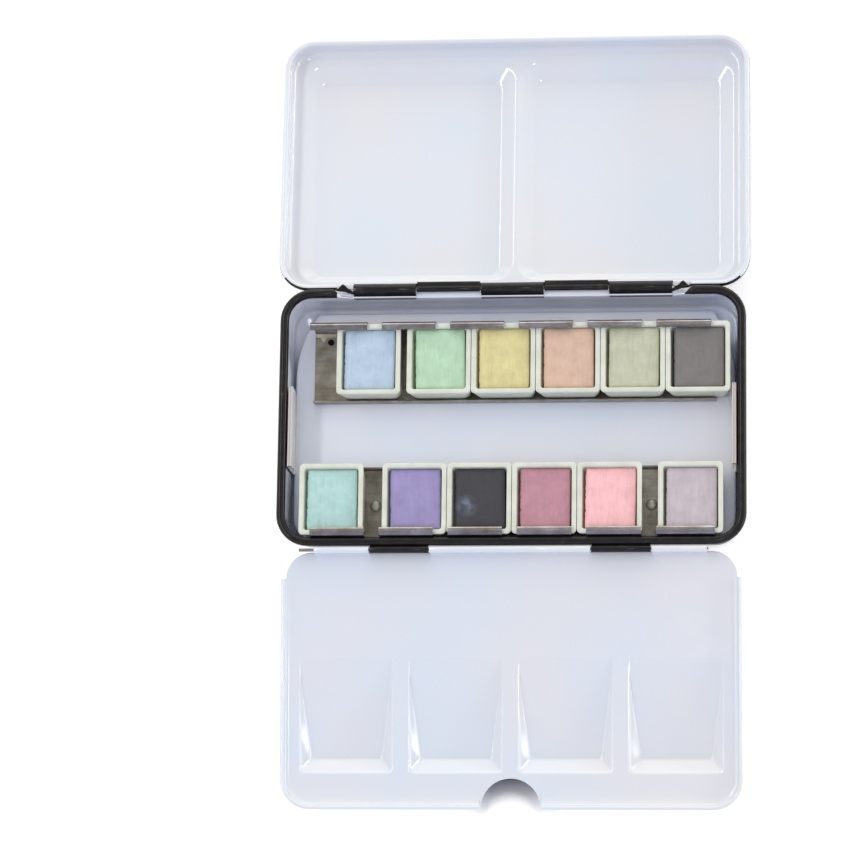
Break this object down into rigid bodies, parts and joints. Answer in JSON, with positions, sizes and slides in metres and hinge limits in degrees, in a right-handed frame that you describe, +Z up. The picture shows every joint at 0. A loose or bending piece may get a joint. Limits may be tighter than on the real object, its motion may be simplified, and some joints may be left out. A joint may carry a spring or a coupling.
{
  "type": "watercolor pan set",
  "caption": "Hinged metal watercolour tin, shown open, with a lid with mixing wells, a fold-out mixing flap and a lift-out insert holding half pans of paint.",
  "frame": {"origin": "centre of the tin's underside, on the table", "axes": "+X to the right along the hinges, +Y towards the lid's hinge, +Z up"},
  "size_m": [0.122, 0.2028, 0.0148],
  "materials": {
    "black_lacquer": "gloss",
    "white_enamel": "gloss",
    "bare_steel": "satin",
    "pan_plastic": "satin",
    "paint_sky_blue": "matt",
    "paint_mint_green": "matt",
    "paint_khaki_yellow": "matt",
    "paint_peach": "matt",
    "paint_sage_green": "matt",
    "paint_warm_grey": "matt",
    "paint_aqua": "matt",
    "paint_purple": "matt",
    "paint_charcoal": "matt",
    "paint_mauve_rose": "matt",
    "paint_pink": "matt",
    "paint_lilac_grey": "matt"
  },
  "bodies": {
    "base": {"base_tin": "black_lacquer", "lid_hinge_pin": "bare_steel", "flap_hinge_pin": "bare_steel"},
    "lid": {"lid": "white_enamel"},
    "flap": {"mixing_flap": "white_enamel"},
    "insert": {"insert_plate": "white_enamel", "rail_back": "bare_steel", "rail_front": "bare_steel", "rail_rivets": "bare_steel"},
    "pan_back_1": {"pan_back_1": "pan_plastic", "paint_sky_blue": "paint_sky_blue"},
    "pan_back_2": {"pan_back_2": "pan_plastic", "paint_mint_green": "paint_mint_green"},
    "pan_back_3": {"pan_back_3": "pan_plastic", "paint_khaki_yellow": "paint_khaki_yellow"},
    "pan_back_4": {"pan_back_4": "pan_plastic", "paint_peach": "paint_peach"},
    "pan_back_5": {"pan_back_5": "pan_plastic", "paint_sage_green": "paint_sage_green"},
    "pan_back_6": {"pan_back_6": "pan_plastic", "paint_warm_grey": "paint_warm_grey"},
    "pan_front_1": {"pan_front_1": "pan_plastic", "paint_aqua": "paint_aqua"},
    "pan_front_2": {"pan_front_2": "pan_plastic", "paint_purple": "paint_purple"},
    "pan_front_3": {"pan_front_3": "pan_plastic", "paint_charcoal": "paint_charcoal"},
    "pan_front_4": {"pan_front_4": "pan_plastic", "paint_mauve_rose": "paint_mauve_rose"},
    "pan_front_5": {"pan_front_5": "pan_plastic", "paint_pink": "paint_pink"},
    "pan_front_6": {"pan_front_6": "pan_plastic", "paint_lilac_grey": "paint_lilac_grey"}
  },
  "joints": [
    {"name": "lid_hinge", "type": "hinge", "parent": "base", "child": "lid", "pos_m": [0, 0.0335, 0.0129], "axis": [-1, 0, 0], "range_deg": [-183, 0]},
    {"name": "flap_hinge", "type": "hinge", "parent": "base", "child": "flap", "pos_m": [0, -0.03475, 0.013], "axis": [1, 0, 0], "range_deg": [-186.8, 0]},
    {"name": "insert_lift", "type": "slide", "parent": "base", "child": "insert", "axis": [0, 0, 1], "range_m": [0, 0.03]},
    {"name": "pan_back_1_slide", "type": "slide", "parent": "insert", "child": "pan_back_1", "axis": [1, 0, 0], "range_m": [-0.0062, 0.00155]},
    {"name": "pan_back_2_slide", "type": "slide", "parent": "insert", "child": "pan_back_2", "axis": [1, 0, 0], "range_m": [-0.0016, 0.0003]},
    {"name": "pan_back_3_slide", "type": "slide", "parent": "insert", "child": "pan_back_3", "axis": [1, 0, 0], "range_m": [-0.0016, 0.0003]},
    {"name": "pan_back_4_slide", "type": "slide", "parent": "insert", "child": "pan_back_4", "axis": [1, 0, 0], "range_m": [-0.0016, 0.0003]},
    {"name": "pan_back_5_slide", "type": "slide", "parent": "insert", "child": "pan_back_5", "axis": [1, 0, 0], "range_m": [-0.0016, 0.0003]},
    {"name": "pan_back_6_slide", "type": "slide", "parent": "insert", "child": "pan_back_6", "axis": [1, 0, 0], "range_m": [-0.0016, 0.0003]},
    {"name": "pan_front_1_slide", "type": "slide", "parent": "insert", "child": "pan_front_1", "axis": [1, 0, 0], "range_m": [0, 0.0048]},
    {"name": "pan_front_2_slide", "type": "slide", "parent": "insert", "child": "pan_front_2", "axis": [1, 0, 0], "range_m": [-0.0048, 0.004]},
    {"name": "pan_front_3_slide", "type": "slide", "parent": "insert", "child": "pan_front_3", "axis": [1, 0, 0], "range_m": [-0.0048, 0.004]},
    {"name": "pan_front_4_slide", "type": "slide", "parent": "insert", "child": "pan_front_4", "axis": [1, 0, 0], "range_m": [-0.0048, 0.004]},
    {"name": "pan_front_5_slide", "type": "slide", "parent": "insert", "child": "pan_front_5", "axis": [1, 0, 0], "range_m": [-0.0048, 0.004]},
    {"name": "pan_front_6_slide", "type": "slide", "parent": "insert", "child": "pan_front_6", "axis": [1, 0, 0], "range_m": [-0.004, 0]}
  ],
  "couplings": [
    {"joint": "pan_back_3_slide", "follows": "pan_back_2_slide", "ratio": 1},
    {"joint": "pan_back_4_slide", "follows": "pan_back_2_slide", "ratio": 1},
    {"joint": "pan_back_5_slide", "follows": "pan_back_2_slide", "ratio": 1},
    {"joint": "pan_back_6_slide", "follows": "pan_back_2_slide", "ratio": 1},
    {"joint": "pan_front_3_slide", "follows": "pan_front_2_slide", "ratio": 1},
    {"joint": "pan_front_4_slide", "follows": "pan_front_2_slide", "ratio": 1},
    {"joint": "pan_front_5_slide", "follows": "pan_front_2_slide", "ratio": 1}
  ]
}
